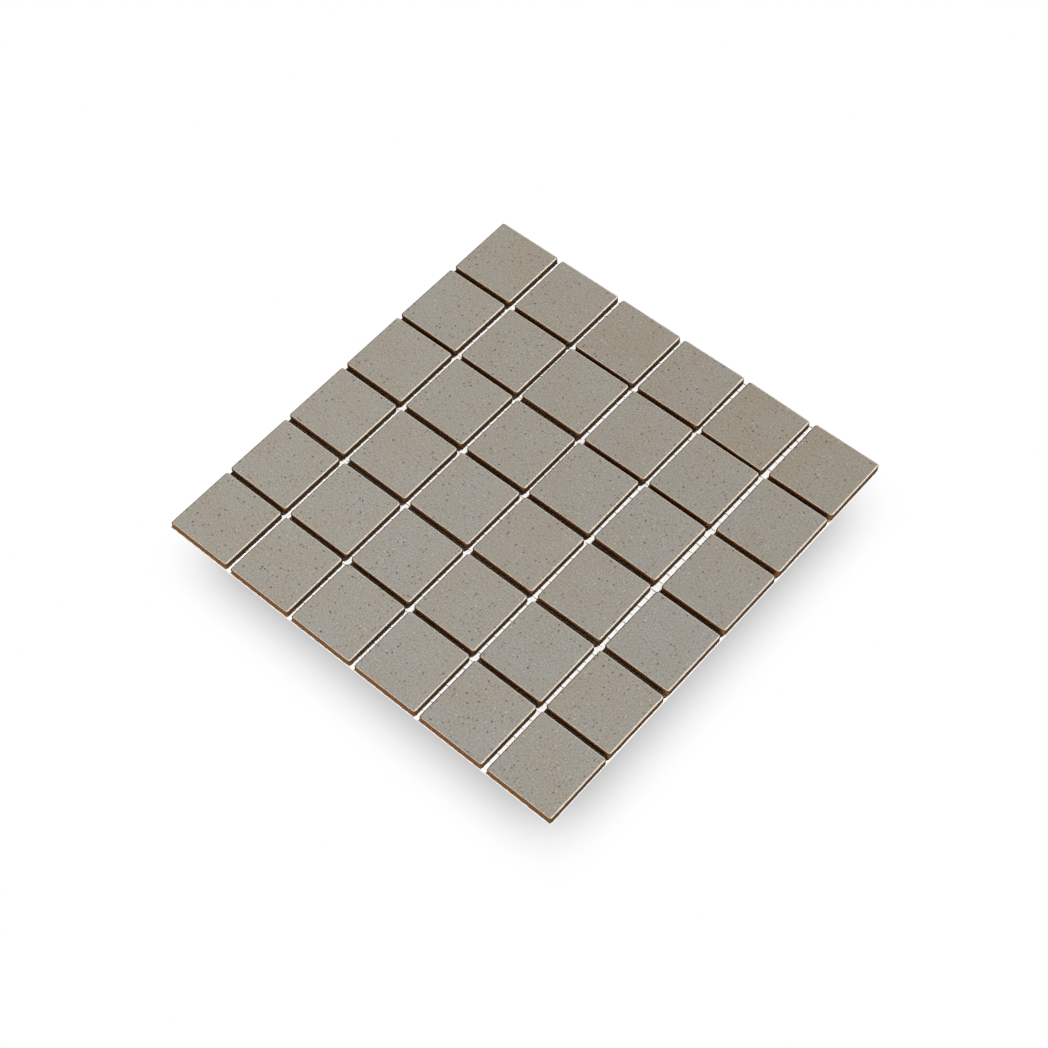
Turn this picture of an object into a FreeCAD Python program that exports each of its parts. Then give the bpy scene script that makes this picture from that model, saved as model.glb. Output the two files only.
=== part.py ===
import FreeCAD, Part
import math
import os

# Mosaic tile sheet: six rows of six stoneware tiles, nearly square, on a woven glass-fibre backing net.
# Millimetres. The origin is the middle of the sheet on the underside of the net, and +Z is up.
# X runs along the rows and Y along the columns. Row 1 is the far one and column 1 the left one.

# Tile
TILE_WIDTH = 47.5         # along X
TILE_LENGTH = 48.1        # along Y
TILE_THICKNESS = 5.0      # back to face
ARRIS_RADIUS = 1.1        # rounding where the face turns into the sides
FACE_CORNER_RADIUS = 0.7  # of the flat face; the upright corners are rounder by the arris
BACK_BEVEL = 0.25         # bevel around the back
CORNER_FLATS = 3          # an upright corner is drawn in this many flats
ARRIS_FLATS = 3           # and the arris in this many

# Keying grooves pressed into the back, which the tile adhesive grips
GROOVES = 5
GROOVE_PITCH = 8.0
GROOVE_WIDTH = 4.5        # at the mouth
GROOVE_DEPTH = 0.5
GROOVE_SLOPE = 0.6        # how far each side of a groove leans in, so that the press lets go
GROOVE_MARGIN = 5.0       # from the end of a groove to the side of the tile

# Sheet
ROWS = 6
COLUMNS = 6
COLUMN_JOINT = 3.5        # nominal gap between two columns
ROW_JOINT = 2.9           # nominal gap between two rows

# Backing net
YARN_PITCH = 6.85         # about; the yarns are spread evenly from one trimmed side to the other
YARN_WIDTH = 1.6
YARN_THICKNESS = 0.25     # flattened yarn, so the net is two of these thick
NET_OVERHANG = 0.3        # how far the trimmed net stands out past the nominal line of the tiles

# How the tiles drifted from the true grid while they were set
DRIFT = 0.3               # largest drift of a whole row
DRIFT_CYCLE_X = 72.0      # degrees of the cycle of the drift in X from one row or column to the next
DRIFT_CYCLE_Y = 86.4      # and of the drift in Y from one row to the next
TWIST = 0.25              # usual turn of a tile, in degrees

# Tiles that slipped further: row, column, shift in X, shift in Y, turn in degrees
SLIPPED = [
    (1, 5, -0.2, -0.5, -0.9),
    (2, 1, -0.3, -0.1, -0.4),
    (2, 3, -0.5, 0.7, 0.0),
    (2, 5, -0.2, 0.4, 0.0),
    (3, 4, -0.5, 0.1, 0.5),
    (3, 5, -0.4, 0.6, -0.6),
    (3, 6, 0.5, -0.3, -0.2),
    (4, 5, 0.0, 0.1, 0.5),
    (4, 6, 0.4, -0.2, 0.0),
]

PITCH_X = TILE_WIDTH + COLUMN_JOINT
PITCH_Y = TILE_LENGTH + ROW_JOINT
FIELD_X = COLUMNS * PITCH_X - COLUMN_JOINT
FIELD_Y = ROWS * PITCH_Y - ROW_JOINT
NET_X = FIELD_X + 2 * NET_OVERHANG
NET_Y = FIELD_Y + 2 * NET_OVERHANG
WARP_Z = YARN_THICKNESS
BACK_Z = 2 * YARN_THICKNESS


def outline(inset, z):
    # the tile's outline at one height, that far inside its sides, with its corner arcs drawn in flats
    radius = FACE_CORNER_RADIUS + ARRIS_RADIUS - inset
    centre_x = TILE_WIDTH / 2 - inset - radius
    centre_y = TILE_LENGTH / 2 - inset - radius
    points = []
    for quarter, (side_x, side_y) in enumerate(((1, 1), (-1, 1), (-1, -1), (1, -1))):
        for flat in range(CORNER_FLATS + 1):
            angle = math.radians(90 * (quarter + flat / CORNER_FLATS))
            x = side_x * centre_x + radius * math.cos(angle)
            y = side_y * centre_y + radius * math.sin(angle)
            points.append(FreeCAD.Vector(x, y, z))
    return Part.makePolygon(points + points[:1])


def groove_cutter(y):
    # a flat-bottomed groove with four leaning sides, its mouth on the plane of the back
    length = TILE_WIDTH / 2 - GROOVE_MARGIN
    width = GROOVE_WIDTH / 2
    cutter = Part.makeWedge(
        -length, 0, -width, -width + GROOVE_SLOPE, -length + GROOVE_SLOPE,
        length, GROOVE_DEPTH, width, width - GROOVE_SLOPE, length - GROOVE_SLOPE,
    )
    cutter.rotate(FreeCAD.Vector(0, 0, 0), FreeCAD.Vector(1, 0, 0), 90)
    cutter.translate(FreeCAD.Vector(0, y, 0))
    return cutter


def tile_blank():
    # one pressed tile, centred on the Z axis, its back at z = 0
    # its sections run up the bevel and the sides, then over the arris to the face
    sections = [outline(BACK_BEVEL, 0), outline(0, BACK_BEVEL)]
    for flat in range(ARRIS_FLATS + 1):
        angle = math.radians(90 * flat / ARRIS_FLATS)
        inset = ARRIS_RADIUS * (1 - math.cos(angle))
        drop = ARRIS_RADIUS * (1 - math.sin(angle))
        sections.append(outline(inset, TILE_THICKNESS - drop))
    body = Part.makeLoft(sections, True, True)
    for index in range(GROOVES):
        y = (index - (GROOVES - 1) / 2) * GROOVE_PITCH
        body = body.cut(groove_cutter(y))
    return body


def set_tile(blank, row, column):
    # places a tile where the setter left it: its place in the grid, the drift of its row and column
    # and, where it slipped, its own shift and turn
    row_phase = math.radians(DRIFT_CYCLE_X * (row - 1))
    column_phase = math.radians(DRIFT_CYCLE_X * (column - 1))
    grid_x = (column - (COLUMNS + 1) / 2) * PITCH_X
    grid_y = ((ROWS + 1) / 2 - row) * PITCH_Y
    x = grid_x + DRIFT * math.cos(row_phase) + DRIFT / 2 * math.sin(column_phase)
    y = grid_y - DRIFT * math.cos(math.radians(DRIFT_CYCLE_Y * (row - 1)))
    turn = TWIST * math.sin(row_phase + 2 * column_phase)
    for slip_row, slip_column, slip_x, slip_y, slip_turn in SLIPPED:
        if (slip_row, slip_column) == (row, column):
            x += slip_x
            y += slip_y
            turn += slip_turn
    tile = blank.copy()
    tile.rotate(FreeCAD.Vector(0, 0, 0), FreeCAD.Vector(0, 0, 1), turn)
    tile.translate(FreeCAD.Vector(x, y, BACK_Z))
    return tile


def yarn_places(width):
    # the middles of the yarns, spread over the width of the net with the outer two flush with its sides
    spread = width - YARN_WIDTH
    gaps = round(spread / YARN_PITCH)
    return [spread * (index / gaps - 0.5) for index in range(gaps + 1)]


def warp_yarns():
    # along Y, against the backs of the tiles
    yarns = []
    for x in yarn_places(NET_X):
        corner = FreeCAD.Vector(x - YARN_WIDTH / 2, -NET_Y / 2, WARP_Z)
        yarns.append(Part.makeBox(YARN_WIDTH, NET_Y, YARN_THICKNESS, corner))
    return Part.makeCompound(yarns)


def weft_yarns():
    # along X, under the warp, on the floor
    yarns = []
    for y in yarn_places(NET_Y):
        corner = FreeCAD.Vector(-NET_X / 2, y - YARN_WIDTH / 2, 0)
        yarns.append(Part.makeBox(NET_X, YARN_WIDTH, YARN_THICKNESS, corner))
    return Part.makeCompound(yarns)


os.makedirs("parts", exist_ok=True)

blank = tile_blank()
for row in range(1, ROWS + 1):
    for column in range(1, COLUMNS + 1):
        tile = set_tile(blank, row, column)
        tile.exportStep(f"parts/tile_r{row}_c{column}.step")

warp_yarns().exportStep("parts/net_warp_yarns.step")
weft_yarns().exportStep("parts/net_weft_yarns.step")
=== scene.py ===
import bpy
import bmesh
import math
import random
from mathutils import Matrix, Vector


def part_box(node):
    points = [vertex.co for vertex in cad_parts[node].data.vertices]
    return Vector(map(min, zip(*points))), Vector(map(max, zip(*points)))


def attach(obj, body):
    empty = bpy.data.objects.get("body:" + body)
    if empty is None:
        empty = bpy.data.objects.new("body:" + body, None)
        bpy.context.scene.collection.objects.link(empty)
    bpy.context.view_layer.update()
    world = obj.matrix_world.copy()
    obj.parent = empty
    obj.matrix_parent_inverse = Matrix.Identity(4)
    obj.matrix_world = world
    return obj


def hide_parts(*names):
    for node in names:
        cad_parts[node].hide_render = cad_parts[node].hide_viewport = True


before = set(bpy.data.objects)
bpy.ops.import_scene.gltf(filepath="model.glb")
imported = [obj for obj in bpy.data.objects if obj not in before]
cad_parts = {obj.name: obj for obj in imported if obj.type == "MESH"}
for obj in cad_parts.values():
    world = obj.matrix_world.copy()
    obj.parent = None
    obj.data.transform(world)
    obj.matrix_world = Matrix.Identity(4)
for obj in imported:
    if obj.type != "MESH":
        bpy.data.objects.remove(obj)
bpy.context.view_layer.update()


# The tiles. Each is a chip of unglazed stoneware, dry-pressed from one grey clay body with iron in it and
# fired once. The face stays matte, the die rounds the arrises, the fire toasts the sides brown, and the
# press leaves keying grooves across the back.
TILE_WIDTH = 0.0475
TILE_LENGTH = 0.0481
TILE_THICKNESS = 0.0050
BACK_HEIGHT = 0.0005       # the backs lie at this height, on the net
FACE_HEIGHT = BACK_HEIGHT + TILE_THICKNESS
ARRIS_RADIUS = 0.0011
CORNER_RADIUS = 0.0018     # of the upright corners
BACK_BEVEL = 0.00025
ROUNDING_STEPS = 6         # facets across a rounding
CREASE = math.radians(35)  # an edge sharper than this stays crisp
GROOVES = 5
GROOVE_PITCH = 0.008
GROOVE_WIDTH = 0.0045      # at the mouth
GROOVE_DEPTH = 0.0005
GROOVE_SLOPE = 0.0006      # how far the sides of a groove lean in
GROOVE_MARGIN = 0.005      # from the end of a groove to the side of the tile
NEAR = 1e-6                # places this close count as the same


def start_piece():
    # leaves nothing selected, so that the next primitive stands alone
    if bpy.context.mode != "OBJECT":
        bpy.ops.object.mode_set(mode="OBJECT")
    bpy.ops.object.select_all(action="DESELECT")


def select_where(kind, wanted):
    # in edit mode, selects only the verts, edges or faces that pass a test
    modes = {"verts": "VERT", "edges": "EDGE", "faces": "FACE"}
    bpy.ops.mesh.select_mode(type=modes[kind])
    bpy.ops.mesh.select_all(action="DESELECT")
    mesh = bmesh.from_edit_mesh(bpy.context.edit_object.data)
    for element in getattr(mesh, kind):
        if wanted(element):
            element.select_set(True)
    bmesh.update_edit_mesh(bpy.context.edit_object.data)


start_piece()
bpy.ops.mesh.primitive_cube_add(size=1, location=(0, 0, TILE_THICKNESS / 2))
chip = bpy.context.object
chip.name = "pressed_chip"
chip.scale = (TILE_WIDTH, TILE_LENGTH, TILE_THICKNESS)
bpy.ops.object.transform_apply(location=True, rotation=False, scale=True)

# the upright corners are rounded first, then the arris around the face, then the bevel around the back
bpy.ops.object.mode_set(mode="EDIT")
select_where("edges", lambda edge: abs(edge.verts[0].co.z - edge.verts[1].co.z) > TILE_THICKNESS / 2)
bpy.ops.mesh.bevel(offset=CORNER_RADIUS, segments=ROUNDING_STEPS, affect="EDGES")
select_where("edges", lambda edge: min(vert.co.z for vert in edge.verts) > TILE_THICKNESS - NEAR)
bpy.ops.mesh.bevel(offset=ARRIS_RADIUS, segments=ROUNDING_STEPS, affect="EDGES")
select_where("edges", lambda edge: max(vert.co.z for vert in edge.verts) < NEAR)
bpy.ops.mesh.bevel(offset=BACK_BEVEL, segments=1, affect="EDGES")


def on_back(face):
    return face.normal.z < -0.9


# the grooves are marked out on the back by straight cuts, then pressed in with sloping sides
groove_end = TILE_WIDTH / 2 - GROOVE_MARGIN
groove_middles = [(index - (GROOVES - 1) / 2) * GROOVE_PITCH for index in range(GROOVES)]
for x in (-groove_end, groove_end):
    select_where("faces", on_back)
    bpy.ops.mesh.bisect(plane_co=(x, 0, 0), plane_no=(1, 0, 0))
for middle in groove_middles:
    for side in (-GROOVE_WIDTH / 2, GROOVE_WIDTH / 2):
        select_where("faces", on_back)
        bpy.ops.mesh.bisect(plane_co=(0, middle + side, 0), plane_no=(0, 1, 0))


def in_groove(face):
    centre = face.calc_center_median()
    off_middle = min(abs(centre.y - middle) for middle in groove_middles)
    return on_back(face) and abs(centre.x) < groove_end and off_middle < GROOVE_WIDTH / 4


select_where("faces", in_groove)
bpy.ops.mesh.inset(thickness=GROOVE_SLOPE, depth=-GROOVE_DEPTH, use_individual=True)
bpy.ops.object.mode_set(mode="OBJECT")
bpy.ops.object.shade_smooth_by_angle(angle=CREASE)
bpy.ops.object.modifier_add(type="WEIGHTED_NORMAL")
bpy.ops.object.modifier_apply(modifier=chip.modifiers[0].name)


def linear(hex_colour):
    # an sRGB hex value as the linear colour that a shader takes
    parts = [int(hex_colour[i:i + 2], 16) / 255 for i in (0, 2, 4)]
    return [p / 12.92 if p < 0.04045 else ((p + 0.055) / 1.055) ** 2.4 for p in parts] + [1.0]


def add_node(tree, kind, settings=None, inputs=None):
    # adds a node, with its settings, and its sockets given a value or a link
    # in a colour mix, sockets 6 and 7 are the two colours and output 2 is the result
    node = tree.nodes.new(kind)
    for name, value in (settings or {}).items():
        setattr(node, name, value)
    for name, value in (inputs or {}).items():
        if isinstance(value, bpy.types.NodeSocket):
            tree.links.new(value, node.inputs[name])
        else:
            node.inputs[name].default_value = value
    return node


# Unglazed stoneware, pressed and fired: a dry matte skin with fine grain, faintly clouded between green-grey
# and pink-grey, peppered with iron specks that melted dark and a few pale grains of quartz, and with sides
# that the fire toasted brown. What changes from the face to the back goes by the depth below the face.
stoneware = bpy.data.materials.new("unglazed_pressed_stoneware")
stoneware.use_nodes = True
tree = stoneware.node_tree
skin = tree.nodes["Principled BSDF"]
place = add_node(tree, "ShaderNodeTexCoord").outputs["Object"]
height = add_node(tree, "ShaderNodeSeparateXYZ", inputs={"Vector": place}).outputs["Z"]
depth = add_node(tree, "ShaderNodeMath", {"operation": "SUBTRACT"}, {
    0: FACE_HEIGHT, 1: height}).outputs["Value"]

# the clay is clouded, and an attribute makes each tile a little greener or pinker as a whole
CLOUD_SIZE = 0.020
cloud = add_node(tree, "ShaderNodeTexNoise", inputs={
    "Vector": place, "Scale": 1 / CLOUD_SIZE, "Detail": 3.0}).outputs["Fac"]
batch = add_node(tree, "ShaderNodeAttribute", {"attribute_name": "clay_batch"}).outputs["Fac"]
mixed = add_node(tree, "ShaderNodeMath", {"operation": "ADD"}, {0: cloud, 1: batch}).outputs["Value"]
pinkness = add_node(tree, "ShaderNodeMapRange", inputs={
    "Value": mixed, "From Min": 0.14, "From Max": 0.86}).outputs["Result"]
clay = add_node(tree, "ShaderNodeMix", {"data_type": "RGBA"}, {
    "Factor": pinkness, 6: linear("9C9B96"), 7: linear("9B9284")}).outputs[2]

# an attribute paints each tile with shade by its place on the sheet, from 0 where the painted shade is
# darkest and a little yellower
sheet_light = add_node(tree, "ShaderNodeAttribute", {"attribute_name": "kiln_shade"}).outputs["Fac"]
sheet_shade_tint = add_node(tree, "ShaderNodeMix", {"data_type": "RGBA"}, {
    "Factor": sheet_light, 6: linear("E5E4E1"), 7: linear("FFFFFF")}).outputs[2]
shaded_clay = add_node(tree, "ShaderNodeMix", {"data_type": "RGBA", "blend_type": "MULTIPLY"}, {
    "Factor": 1.0, 6: clay, 7: sheet_shade_tint}).outputs[2]

# the grain of the pressed clay is finer than a pixel, so it is drawn coarser to show
GRAIN_SIZE = 0.0011
grain = add_node(tree, "ShaderNodeTexNoise", inputs={
    "Vector": place, "Scale": 1 / GRAIN_SIZE, "Detail": 2.0, "Roughness": 0.65}).outputs["Fac"]
grain_shade = add_node(tree, "ShaderNodeMapRange", inputs={
    "Value": grain, "From Min": 0.3, "From Max": 0.7, "To Min": 0.73, "To Max": 1.27}).outputs["Result"]
grained = add_node(tree, "ShaderNodeVectorMath", {"operation": "SCALE"}, {
    0: shaded_clay, "Scale": grain_shade}).outputs["Vector"]

# iron specks lie through the clay, each to its own depth of colour, and the skin cuts some of them;
# a finer noise pulls their outlines out of round
IRON_SPACING = 0.0023
RAGGED_SIZE = 0.0007
RAGGED_PULL = 0.0008
ragged = add_node(tree, "ShaderNodeTexNoise", inputs={
    "Vector": place, "Scale": 1 / RAGGED_SIZE, "Detail": 1.0}).outputs["Color"]
ragged_place = add_node(tree, "ShaderNodeVectorMath", {"operation": "MULTIPLY_ADD"}, {
    0: ragged, 1: (RAGGED_PULL, RAGGED_PULL, RAGGED_PULL), 2: place}).outputs["Vector"]
iron_cells = add_node(tree, "ShaderNodeTexVoronoi", inputs={
    "Vector": ragged_place, "Scale": 1 / IRON_SPACING}).outputs
iron_spot = add_node(tree, "ShaderNodeMapRange", {"interpolation_type": "SMOOTHSTEP"}, {
    "Value": iron_cells["Distance"],
    "From Min": 0.14, "From Max": 0.40, "To Min": 1.0, "To Max": 0.0}).outputs["Result"]
iron_chance = add_node(tree, "ShaderNodeSeparateColor", inputs={"Color": iron_cells["Color"]}).outputs
iron_strength = add_node(tree, "ShaderNodeMath", {"operation": "POWER"}, {
    0: iron_chance["Red"], 1: 4.0}).outputs["Value"]
iron = add_node(tree, "ShaderNodeMath", {"operation": "MULTIPLY"}, {
    0: iron_spot, 1: iron_strength}).outputs["Value"]
iron_tone = add_node(tree, "ShaderNodeMix", {"data_type": "RGBA"}, {
    "Factor": iron_chance["Blue"], 6: linear("3C3229"), 7: linear("62442F")}).outputs[2]
specked = add_node(tree, "ShaderNodeMix", {"data_type": "RGBA"}, {
    "Factor": iron, 6: grained, 7: iron_tone}).outputs[2]

# pale grains of quartz, of which fewer are strong enough to be seen
QUARTZ_SPACING = 0.0024
quartz_cells = add_node(tree, "ShaderNodeTexVoronoi", inputs={
    "Vector": place, "Scale": 1 / QUARTZ_SPACING}).outputs
quartz_spot = add_node(tree, "ShaderNodeMapRange", {"interpolation_type": "SMOOTHSTEP"}, {
    "Value": quartz_cells["Distance"],
    "From Min": 0.08, "From Max": 0.30, "To Min": 1.0, "To Max": 0.0}).outputs["Result"]
quartz_chance = add_node(tree, "ShaderNodeSeparateColor", inputs={"Color": quartz_cells["Color"]}).outputs
quartz_strength = add_node(tree, "ShaderNodeMath", {"operation": "POWER"}, {
    0: quartz_chance["Green"], 1: 6.0}).outputs["Value"]
quartz = add_node(tree, "ShaderNodeMath", {"operation": "MULTIPLY"}, {
    0: quartz_spot, 1: quartz_strength}).outputs["Value"]
peppered = add_node(tree, "ShaderNodeMix", {"data_type": "RGBA"}, {
    "Factor": quartz, 6: specked, 7: linear("C2BBAF")}).outputs[2]

# the arris begins just below the face and has a painted highlight in a pale colour; an attribute takes it
# off the left and far arrises, where painted shade in the toast colour is drawn over them instead
ARRIS_STARTS = 0.000004
ARRIS_PALE = 0.00006
arris_top = add_node(tree, "ShaderNodeMapRange", {"interpolation_type": "SMOOTHSTEP"}, {
    "Value": depth, "From Min": ARRIS_STARTS, "From Max": ARRIS_PALE}).outputs["Result"]
rim_shade = add_node(tree, "ShaderNodeAttribute", {"attribute_name": "rim_toast"}).outputs["Fac"]
shaded_rim = add_node(tree, "ShaderNodeMath", {"operation": "MULTIPLY"}, {
    0: rim_shade, 1: arris_top}).outputs["Value"]
painted_highlight_rim = add_node(tree, "ShaderNodeMath", {"operation": "SUBTRACT"}, {
    0: arris_top, 1: shaded_rim}).outputs["Value"]
highlighted = add_node(tree, "ShaderNodeMix", {"data_type": "RGBA"}, {
    "Factor": painted_highlight_rim, 6: peppered, 7: linear("DCD4C6")}).outputs[2]

# the toast begins within the arris, with an uneven edge; on the near side it climbs higher, as painted shade
# on that arris
TOAST_WAVE = 0.003
TOAST_SWAY = 0.0003
NEAR_SHADE_CLIMB = 0.0006
RIM_SHADE_CLIMB = 0.0005
TOAST_STARTS = -0.0001
TOAST_FULL = 0.0006
toast_wave = add_node(tree, "ShaderNodeTexNoise", inputs={
    "Vector": place, "Scale": 1 / TOAST_WAVE, "Detail": 2.0}).outputs["Fac"]
uneven_edge = add_node(tree, "ShaderNodeMath", {"operation": "MULTIPLY_ADD"}, {
    0: toast_wave, 1: -TOAST_SWAY, 2: depth}).outputs["Value"]
near_facing = add_node(tree, "ShaderNodeAttribute", {"attribute_name": "toward_flame"}).outputs["Fac"]
near_shaded_edge = add_node(tree, "ShaderNodeMath", {"operation": "MULTIPLY_ADD"}, {
    0: near_facing, 1: NEAR_SHADE_CLIMB, 2: uneven_edge}).outputs["Value"]
toast_edge = add_node(tree, "ShaderNodeMath", {"operation": "MULTIPLY_ADD"}, {
    0: shaded_rim, 1: RIM_SHADE_CLIMB, 2: near_shaded_edge}).outputs["Value"]
toasted = add_node(tree, "ShaderNodeMapRange", {"interpolation_type": "SMOOTHSTEP"}, {
    "Value": toast_edge, "From Min": TOAST_STARTS, "From Max": TOAST_FULL}).outputs["Result"]

# the toast is painted lighter and redder on the near side as painted light, and darker on the other sides as
# painted shade; it also has painted shade toward the foot of the sides
FOOT_STARTS = 0.0012
FOOT_FULL = 0.0048
shaded_toast = add_node(tree, "ShaderNodeMix", {"data_type": "RGBA"}, {
    "Factor": toast_wave, 6: linear("5B3A15"), 7: linear("4A3014")}).outputs[2]
lit_near_toast = add_node(tree, "ShaderNodeMix", {"data_type": "RGBA"}, {
    "Factor": toast_wave, 6: linear("865A2D"), 7: linear("684423")}).outputs[2]
toast = add_node(tree, "ShaderNodeMix", {"data_type": "RGBA"}, {
    "Factor": near_facing, 6: shaded_toast, 7: lit_near_toast}).outputs[2]
# painted shade: the toast is darker toward the foot of the sides
foot_shade = add_node(tree, "ShaderNodeMapRange", inputs={
    "Value": depth, "From Min": FOOT_STARTS, "From Max": FOOT_FULL,
    "To Min": 1.0, "To Max": 0.8}).outputs["Result"]
toast_grain_and_foot_shade = add_node(tree, "ShaderNodeMath", {"operation": "MULTIPLY"}, {
    0: foot_shade, 1: grain_shade}).outputs["Value"]
toast_grained = add_node(tree, "ShaderNodeVectorMath", {"operation": "SCALE"}, {
    0: toast, "Scale": toast_grain_and_foot_shade}).outputs["Vector"]

# the back lay on the kiln shelf and stayed the plain colour of the clay, as did its keying grooves,
# which an attribute marks
BACK_SKIN = 0.00001
flat_back = add_node(tree, "ShaderNodeMath", {"operation": "GREATER_THAN"}, {
    0: depth, 1: TILE_THICKNESS - BACK_SKIN}).outputs["Value"]
keyed = add_node(tree, "ShaderNodeAttribute", {"attribute_name": "keyed_back"}).outputs["Fac"]
bare_back = add_node(tree, "ShaderNodeMath", {"operation": "MAXIMUM"}, {
    0: flat_back, 1: keyed}).outputs["Value"]
off_back = add_node(tree, "ShaderNodeMath", {"operation": "SUBTRACT"}, {
    0: 1.0, 1: bare_back}).outputs["Value"]
toasted_side = add_node(tree, "ShaderNodeMath", {"operation": "MULTIPLY"}, {
    0: toasted, 1: off_back}).outputs["Value"]
untoasted = add_node(tree, "ShaderNodeMix", {"data_type": "RGBA"}, {
    "Factor": bare_back, 6: highlighted, 7: grained}).outputs[2]
body_colour = add_node(tree, "ShaderNodeMix", {"data_type": "RGBA"}, {
    "Factor": toasted_side, 6: untoasted, 7: toast_grained}).outputs[2]

# a film of the net's white adhesive has crept up past the bevel of the back; it is also painted light at the
# shaded foot of the walls in the joints, and is kept short on the near side so the shaded row joints stay
# dark
FILM_SHORT = 0.0006
FILM_STARTS = 0.0042
FILM_FULL = 0.0047
film_edge = add_node(tree, "ShaderNodeMath", {"operation": "MULTIPLY_ADD"}, {
    0: near_facing, 1: -FILM_SHORT, 2: uneven_edge}).outputs["Value"]
film_and_painted_light = add_node(tree, "ShaderNodeMapRange", {"interpolation_type": "SMOOTHSTEP"}, {
    "Value": film_edge, "From Min": FILM_STARTS, "From Max": FILM_FULL}).outputs["Result"]
film_and_painted_light_on_sides = add_node(tree, "ShaderNodeMath", {"operation": "MULTIPLY"}, {
    0: film_and_painted_light, 1: off_back}).outputs["Value"]
glued = add_node(tree, "ShaderNodeMix", {"data_type": "RGBA"}, {
    "Factor": film_and_painted_light_on_sides, 6: body_colour, 7: linear("E9E7E1")}).outputs[2]
tree.links.new(glued, skin.inputs["Base Color"])

# the face is matte, the top of the arris burnished by the die, and the rest dry and rough
face_roughness = add_node(tree, "ShaderNodeMapRange", inputs={
    "Value": grain, "To Min": 0.36, "To Max": 0.50}).outputs["Result"]
edge_roughness = add_node(tree, "ShaderNodeMix", inputs={
    0: arris_top, 2: face_roughness, 3: 0.27}).outputs[0]
roughness = add_node(tree, "ShaderNodeMix", inputs={0: toasted, 2: edge_roughness, 3: 0.8}).outputs[0]
tree.links.new(roughness, skin.inputs["Roughness"])
skin.inputs["IOR"].default_value = 1.5
skin.inputs["Specular IOR Level"].default_value = 0.2
relief = add_node(tree, "ShaderNodeBump", inputs={"Height": grain, "Strength": 0.5, "Distance": 0.00004})
tree.links.new(relief.outputs["Normal"], skin.inputs["Normal"])
chip.data.materials.append(stoneware)


def write_attribute(piece, name, value_at):
    # gives every vertex of a piece its own value of a float attribute
    attribute = piece.data.attributes.new(name, "FLOAT", "POINT")
    for vertex, entry in zip(piece.data.vertices, attribute.data):
        entry.value = value_at(vertex)


def toward_flame(vertex):
    # 1 on the near side, whose toast is painted lighter and redder as painted light, falling to 0 around its
    # corners and on the face
    return 0.0 if vertex.co.z > TILE_THICKNESS - NEAR else max(0.0, -vertex.normal.y)


# how much of the left and far arrises gets painted shade
LEFT_RIM_SHADE = 0.9
FAR_RIM_SHADE = 0.3


def rim_toast(vertex):
    # painted shade in the toast colour covers nearly all of the left arris and a little of the far one
    half_width = TILE_WIDTH / 2 - CORNER_RADIUS
    half_length = TILE_LENGTH / 2 - CORNER_RADIUS
    x, y, _ = vertex.co
    inner = Vector((max(-half_width, min(half_width, x)), max(-half_length, min(half_length, y))))
    outward = (vertex.co.xy - inner).normalized()
    return max(0.0, -LEFT_RIM_SHADE * outward.x, FAR_RIM_SHADE * outward.y)


def keyed_back(vertex):
    # 1 in the grooves and on their mouths
    x, y, z = vertex.co
    past_end = abs(x) - groove_end
    past_side = abs(y) - (groove_middles[-1] + GROOVE_WIDTH / 2)
    return float(max(past_end, past_side, z - GROOVE_DEPTH) < NEAR)


write_attribute(chip, "toward_flame", toward_flame)
write_attribute(chip, "rim_toast", rim_toast)
write_attribute(chip, "keyed_back", keyed_back)

# one chip for each place on the sheet, turned and shifted as the setter left it. Across the sheet the tiles
# get painted shade, darker toward the right column and the far row, lighter toward the left and the near
# row.
OUTER_TILE = 0.1275        # from the middle of the sheet to the middle of an outer tile
DARKEST_PAINTED_LIGHT = 0.13
PALER_ACROSS = 0.42
PALER_DOWN = 0.45
LIGHTEST_PAINTED_LIGHT = 0.85
BATCH_MEAN = -0.01
BATCH_SPREAD = 0.05
PINK_FAR_ROW = 0.18
PINK_FADES = 4             # it is gone by a quarter of the way down
firing = random.Random(4564)
for node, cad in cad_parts.items():
    if not node.startswith("tile_"):
        continue
    low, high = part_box(node)
    middle = (low + high) / 2
    # the turn is how far the corners of the face lie off 45 degrees in each quarter, on average
    face = [vertex.co - middle for vertex in cad.data.vertices if vertex.co.z > high.z - NEAR]
    outline = {(round(point.x, 7), round(point.y, 7)) for point in face}
    turn = sum(math.degrees(math.atan2(y, x)) % 90 for x, y in outline) / len(outline) - 45
    start_piece()
    tile = chip.copy()
    tile.data = chip.data.copy()
    tile.name = "stoneware_" + node
    bpy.context.collection.objects.link(tile)
    tile.select_set(True)
    bpy.context.view_layer.objects.active = tile
    tile.location = (middle.x, middle.y, low.z)
    tile.rotation_euler = (0, 0, math.radians(turn))
    bpy.ops.object.transform_apply(location=True, rotation=True, scale=True)
    across = (OUTER_TILE - middle.x) / (2 * OUTER_TILE)
    down = (OUTER_TILE - middle.y) / (2 * OUTER_TILE)
    kiln_shade = min(LIGHTEST_PAINTED_LIGHT, DARKEST_PAINTED_LIGHT + PALER_ACROSS * across + PALER_DOWN * down)
    far_pink = PINK_FAR_ROW * max(0, 1 - PINK_FADES * down)
    clay_batch = firing.gauss(BATCH_MEAN, BATCH_SPREAD) + far_pink
    write_attribute(tile, "kiln_shade", lambda vertex: kiln_shade)
    write_attribute(tile, "clay_batch", lambda vertex: clay_batch)
    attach(tile, "root")
    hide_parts(node)
bpy.data.objects.remove(chip)


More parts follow.
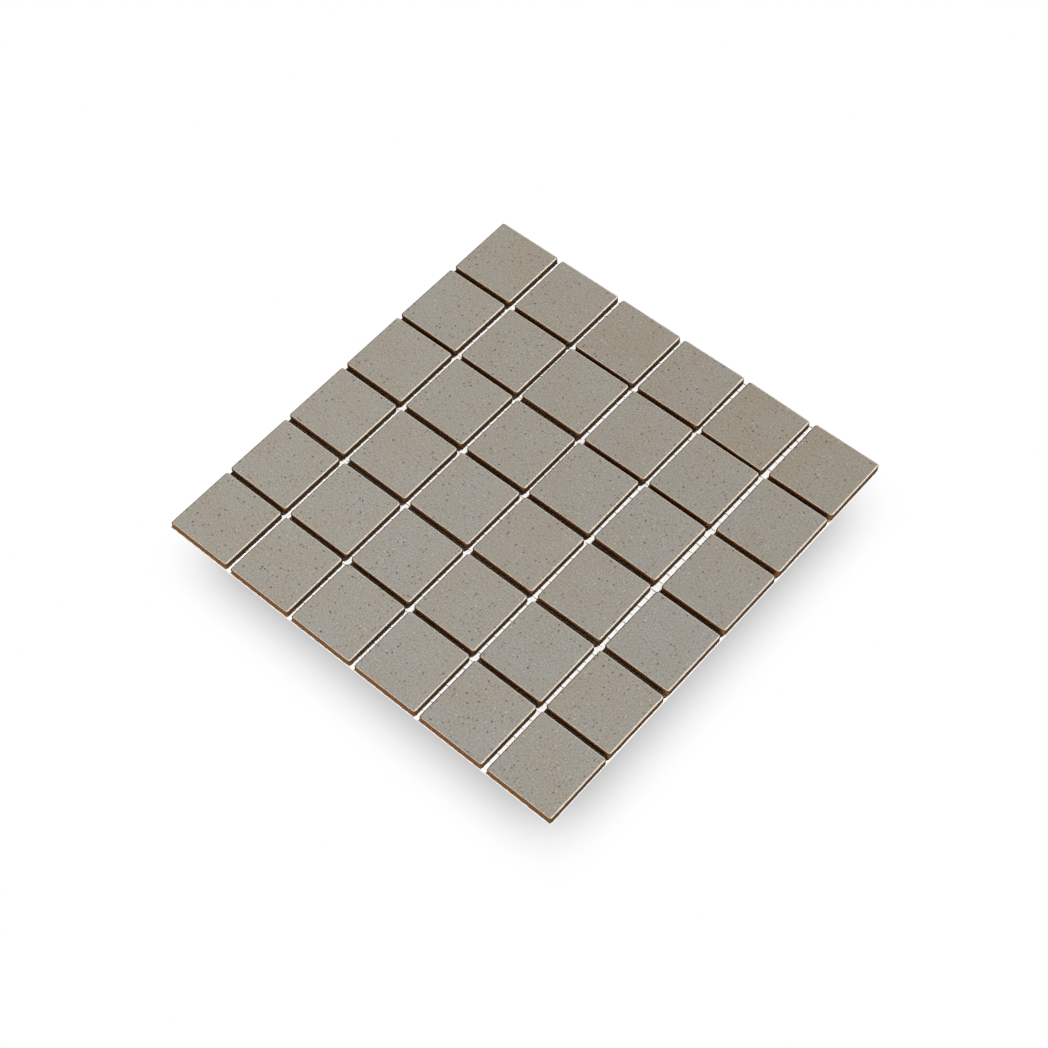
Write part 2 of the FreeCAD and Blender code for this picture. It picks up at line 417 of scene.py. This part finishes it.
# The backing net. Its yarns are flat glass-fibre rovings in a plain weave, over and under at each crossing.
# A white resin coating glues the crossings and sticks the net to the backs of the tiles, and its trimmed
# ends stand 0.3 mm past them.
NET_X = 0.3031
NET_Y = 0.3037
YARNS = 45                         # each way
YARN_WIDTH = 0.0016
YARN_THICKNESS = BACK_HEIGHT / 2   # two layers of yarn lie under the backs of the tiles
YARN_PINCH = 0.18                  # how much narrower a yarn is between two crossings
YARN_FACETS = 8
YARN_CREASE = math.radians(60)     # only the cut ends are crisper than this
WAVE_STEPS = 4                     # from one crossing to the next
WARP_PITCH = (NET_X - YARN_WIDTH) / (YARNS - 1)
WEFT_PITCH = (NET_Y - YARN_WIDTH) / (YARNS - 1)


def repeat(piece, count, step):
    # the piece and its copies in a row, as one mesh, with ends that meet made one
    bpy.ops.object.modifier_add(type="ARRAY")
    row = piece.modifiers[0]
    row.count = count
    row.use_relative_offset = False
    row.use_constant_offset = True
    row.constant_offset_displace = step
    row.use_merge_vertices = True
    row.merge_threshold = NEAR
    bpy.ops.object.modifier_apply(modifier=row.name)


def weave_yarn(length, pitch, crest):
    # one yarn along Y that passes over the others at y = crest and under them one pitch on
    start_piece()
    bpy.ops.mesh.primitive_cylinder_add(
        vertices=YARN_FACETS, radius=0.5, depth=1, end_fill_type="NOTHING",
        rotation=(math.pi / 2, 0, 0))
    yarn = bpy.context.object
    yarn.scale = (YARN_WIDTH, YARN_THICKNESS, 2 * pitch)
    bpy.ops.object.transform_apply(location=True, rotation=True, scale=True)
    bpy.ops.object.mode_set(mode="EDIT")
    select_where("edges", lambda edge: abs(edge.verts[0].co.y - edge.verts[1].co.y) > pitch)
    bpy.ops.mesh.subdivide(number_cuts=2 * WAVE_STEPS - 1)
    for step in range(-WAVE_STEPS, WAVE_STEPS + 1):
        along = step * pitch / WAVE_STEPS
        select_where("verts", lambda vert: abs(vert.co.y - along) < pitch / WAVE_STEPS / 4)
        wave = math.cos(math.pi * step / WAVE_STEPS)
        bpy.ops.transform.resize(value=(1 - YARN_PINCH * (1 - abs(wave)), 1, 1))
        bpy.ops.transform.translate(value=(0, 0, YARN_THICKNESS * (1 + wave / 2)))
    bpy.ops.object.mode_set(mode="OBJECT")

    # the wave is repeated past both ends of the net, and trimmed
    waves = (YARNS + 3) // 2
    repeat(yarn, waves, (0, 2 * pitch, 0))
    yarn.location = (0, crest - waves * pitch, 0)
    bpy.ops.object.transform_apply(location=True, rotation=False, scale=False)
    bpy.ops.object.mode_set(mode="EDIT")
    for end in (-1, 1):
        bpy.ops.mesh.select_all(action="SELECT")
        bpy.ops.mesh.bisect(
            plane_co=(0, end * length / 2, 0), plane_no=(0, end, 0), use_fill=True, clear_outer=True)
    bpy.ops.object.mode_set(mode="OBJECT")
    bpy.ops.object.shade_smooth_by_angle(angle=YARN_CREASE)
    return yarn


def weave_layer(name, length, pitch, spacing, first_crest, turn):
    # all the yarns of one direction, of which every other one passes over where its neighbours pass under,
    # turned about the middle of the sheet
    odd_yarns = (YARNS + 1) // 2
    sets = []
    for count, crest in ((odd_yarns, first_crest), (YARNS - odd_yarns, pitch - first_crest)):
        yarn = weave_yarn(length, pitch, crest)
        yarn.location = (-(count - 1) * spacing, 0, 0)
        bpy.ops.object.transform_apply(location=True, rotation=False, scale=False)
        repeat(yarn, count, (2 * spacing, 0, 0))
        sets.append(yarn)
    for yarn in sets:
        yarn.select_set(True)
    bpy.ops.object.join()
    layer = bpy.context.object
    layer.name = name
    layer.rotation_euler = (0, 0, turn)
    bpy.ops.object.transform_apply(location=False, rotation=True, scale=False)
    return layer


warp = weave_layer("warp_yarns", NET_Y, WEFT_PITCH, WARP_PITCH, 0.0, 0.0)
weft = weave_layer("weft_yarns", NET_X, WARP_PITCH, WEFT_PITCH, WARP_PITCH, math.pi / 2)

# Coated glass fibre, woven: white and half matte, with the filaments showing as fine ridges along a yarn.
# A filament is far too fine to show, so the ridges are drawn about ten times as wide.
RIDGE_WIDTH = 0.00015
RIDGE_LENGTH = 0.006
warp_glass = bpy.data.materials.new("resin_coated_glass_yarn")
warp_glass.use_nodes = True
tree = warp_glass.node_tree
coat = tree.nodes["Principled BSDF"]
place = add_node(tree, "ShaderNodeTexCoord").outputs["Object"]
along_yarn = add_node(tree, "ShaderNodeMapping", {"name": "along the yarn"}, {
    "Vector": place, "Scale": (1 / RIDGE_WIDTH, 1 / RIDGE_LENGTH, 1 / RIDGE_WIDTH)}).outputs["Vector"]
filaments = add_node(tree, "ShaderNodeTexNoise", inputs={
    "Vector": along_yarn, "Scale": 1.0, "Detail": 2.0}).outputs["Fac"]
coat_tone = add_node(tree, "ShaderNodeMix", {"data_type": "RGBA"}, {
    "Factor": filaments, 6: linear("F1F1EE"), 7: linear("FEFEFC")}).outputs[2]
tree.links.new(coat_tone, coat.inputs["Base Color"])
coat.inputs["Roughness"].default_value = 0.6
coat.inputs["IOR"].default_value = 1.5
coat.inputs["Specular IOR Level"].default_value = 0.1
ridges = add_node(tree, "ShaderNodeBump", inputs={
    "Height": filaments, "Strength": 0.3, "Distance": 0.00003}).outputs["Normal"]
tree.links.new(ridges, coat.inputs["Normal"])

# the same finish with its ridges turned, for the yarns that run along X
weft_glass = warp_glass.copy()
weft_glass.name = "resin_coated_glass_yarn_across"
weft_glass.node_tree.nodes["along the yarn"].inputs["Scale"].default_value = (
    1 / RIDGE_LENGTH, 1 / RIDGE_WIDTH, 1 / RIDGE_WIDTH)

for layer, finish, node in ((warp, warp_glass, "net_warp_yarns"), (weft, weft_glass, "net_weft_yarns")):
    layer.data.materials.clear()
    layer.data.materials.append(finish)
    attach(layer, "root")
    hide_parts(node)


# The floor. It is a white studio sheet that catches the real light under the tiles and in the joints. Around
# them the camera sees it as plain white, with the soft grey shadow that the photograph has on the two near
# sides.
FLOOR_SIZE = 6
FLOOR_DROP = 0.00005       # the floor lies this far under the net
FIELD_X = 0.3026           # the tiles' outer edges, from side to side
FIELD_Y = 0.3032
UNDER_EDGE = 0.0010        # the plain white begins this far inside them
WHITE_RIM = 0.0005         # and the shadow this far outside them
SHADOW_SOFTNESS = 0.040    # half the width over which the shadow fades
SHADOW_FAR_SIDE = 0.118    # its line under the far sides, from the middle of the sheet
SHADOW_DEPTH = 0.45        # how much darker it is at its deepest, in the picture's own values
PICTURE_GAMMA = 2.2


def background_rays(tree):
    # 1 for the rays that show the background: the camera's own, and those that a gloss mirrors or glass
    # lets through
    rays = add_node(tree, "ShaderNodeLightPath").outputs
    passed_on = add_node(tree, "ShaderNodeMath", {"operation": "MAXIMUM"}, {
        0: rays["Is Glossy Ray"], 1: rays["Is Transmission Ray"]})
    return add_node(tree, "ShaderNodeMath", {"operation": "MAXIMUM"}, {
        0: rays["Is Camera Ray"], 1: passed_on.outputs["Value"]}).outputs["Value"]


start_piece()
bpy.ops.mesh.primitive_plane_add(size=FLOOR_SIZE, location=(0, 0, -FLOOR_DROP))
floor = bpy.context.object
floor.name = "studio_floor"
bpy.ops.object.transform_apply(location=True, rotation=False, scale=False)
sheet = bpy.data.materials.new("white_studio_sheet")
sheet.use_nodes = True
tree = sheet.node_tree
tree.nodes.clear()
place = add_node(tree, "ShaderNodeTexCoord").outputs["Object"]
spot = add_node(tree, "ShaderNodeSeparateXYZ", inputs={"Vector": place}).outputs

# how far a spot lies outside the line where the plain white begins
beyond = []
for axis, field in (("X", FIELD_X), ("Y", FIELD_Y)):
    from_middle = add_node(tree, "ShaderNodeMath", {"operation": "ABSOLUTE"}, {
        0: spot[axis]}).outputs["Value"]
    beyond.append(add_node(tree, "ShaderNodeMath", {"operation": "SUBTRACT"}, {
        0: from_middle, 1: field / 2 - UNDER_EDGE}).outputs["Value"])
from_line = add_node(tree, "ShaderNodeMath", {"operation": "MAXIMUM"}, {
    0: beyond[0], 1: beyond[1]}).outputs["Value"]
outside = add_node(tree, "ShaderNodeMath", {"operation": "GREATER_THAN"}, {
    0: from_line, 1: 0.0}).outputs["Value"]
past_rim = add_node(tree, "ShaderNodeMath", {"operation": "GREATER_THAN"}, {
    0: from_line, 1: UNDER_EDGE + WHITE_RIM}).outputs["Value"]

# the shadow is deepest under the sheet, and fades across a line along each side: at the tiles' edge on the
# near sides, and well under the tiles on the far ones
shadow = past_rim
for axis, near_sign, field in (("X", 1, FIELD_X), ("Y", -1, FIELD_Y)):
    for sign, line in ((near_sign, field / 2), (-near_sign, SHADOW_FAR_SIDE)):
        fade = add_node(tree, "ShaderNodeMapRange", {"interpolation_type": "SMOOTHERSTEP"}, {
            "Value": spot[axis],
            "From Min": sign * (line - SHADOW_SOFTNESS), "From Max": sign * (line + SHADOW_SOFTNESS),
            "To Min": 1.0, "To Max": 0.0}).outputs["Result"]
        shadow = add_node(tree, "ShaderNodeMath", {"operation": "MULTIPLY"}, {
            0: shadow, 1: fade}).outputs["Value"]
picture_value = add_node(tree, "ShaderNodeMath", {"operation": "MULTIPLY_ADD"}, {
    0: shadow, 1: -SHADOW_DEPTH, 2: 1.0}).outputs["Value"]
seen_white = add_node(tree, "ShaderNodeMath", {"operation": "POWER"}, {
    0: picture_value, 1: PICTURE_GAMMA}).outputs["Value"]
seen = add_node(tree, "ShaderNodeEmission", inputs={"Strength": seen_white}).outputs["Emission"]

# white paper under the tiles and in the joints, and a greyer bounce around them
paper_tone = add_node(tree, "ShaderNodeMix", {"data_type": "RGBA"}, {
    "Factor": outside, 6: linear("F3F3F1"), 7: linear("9A9A9A")}).outputs[2]
paper = add_node(tree, "ShaderNodeBsdfDiffuse", inputs={"Color": paper_tone}).outputs["BSDF"]
show_white = add_node(tree, "ShaderNodeMath", {"operation": "MULTIPLY"}, {
    0: background_rays(tree), 1: outside}).outputs["Value"]
surface = add_node(tree, "ShaderNodeMixShader", inputs={
    0: show_white, 1: paper, 2: seen}).outputs["Shader"]
add_node(tree, "ShaderNodeOutputMaterial", inputs={"Surface": surface})
floor.data.materials.append(sheet)


# The light. The key stands behind the sheet, high enough to reach the floor of the joints that run towards
# it. A low warm fill from the near side reaches the outer walls, and the surround is nearly dark.
SURROUND_STRENGTH = 0.015


def add_sun(name, azimuth, elevation, strength, spread, colour):
    # azimuth from +Y towards +X, and all angles in degrees
    flat = math.cos(math.radians(elevation))
    towards = Vector((
        flat * math.sin(math.radians(azimuth)),
        flat * math.cos(math.radians(azimuth)),
        math.sin(math.radians(elevation))))
    start_piece()
    bpy.ops.object.light_add(type="SUN", location=towards)
    sun = bpy.context.object
    sun.name = name
    sun.data.energy = strength
    sun.data.angle = math.radians(spread)
    sun.data.color = linear(colour)[:3]
    sun.rotation_euler = towards.to_track_quat("Z", "Y").to_euler()


add_sun("key", azimuth=12, elevation=58, strength=3.5, spread=6, colour="FFFFFF")
add_sun("fill", azimuth=148, elevation=4.5, strength=3.9, spread=25, colour="FFF3E4")
surround = bpy.data.worlds.new("dim_surround")
bpy.context.scene.world = surround
surround.use_nodes = True
tree = surround.node_tree
dim = tree.nodes["Background"]
dim.inputs["Color"].default_value = (1, 1, 1, 1)
dim.inputs["Strength"].default_value = SURROUND_STRENGTH
backdrop = add_node(tree, "ShaderNodeBackground", inputs={"Color": (1, 1, 1, 1), "Strength": 1.0})
either = add_node(tree, "ShaderNodeMixShader", inputs={
    0: background_rays(tree), 1: dim.outputs["Background"], 2: backdrop.outputs["Background"]})
tree.links.new(either.outputs["Shader"], tree.nodes["World Output"].inputs["Surface"])


# The camera. It looks down on the sheet over its near corner, from about 1.25 m and with a long lens, and
# leans a little to one side.
CAMERA_PLACE = (0.48543, -0.47943, 1.04103)
CAMERA_TURN = (32.424, 2.725, 41.245)
bpy.ops.object.camera_add(location=CAMERA_PLACE, rotation=[math.radians(angle) for angle in CAMERA_TURN])
camera = bpy.context.object
camera.data.sensor_width = 36
camera.data.lens = 70.85
bpy.context.scene.camera = camera
bpy.context.scene.view_settings.view_transform = "Standard"
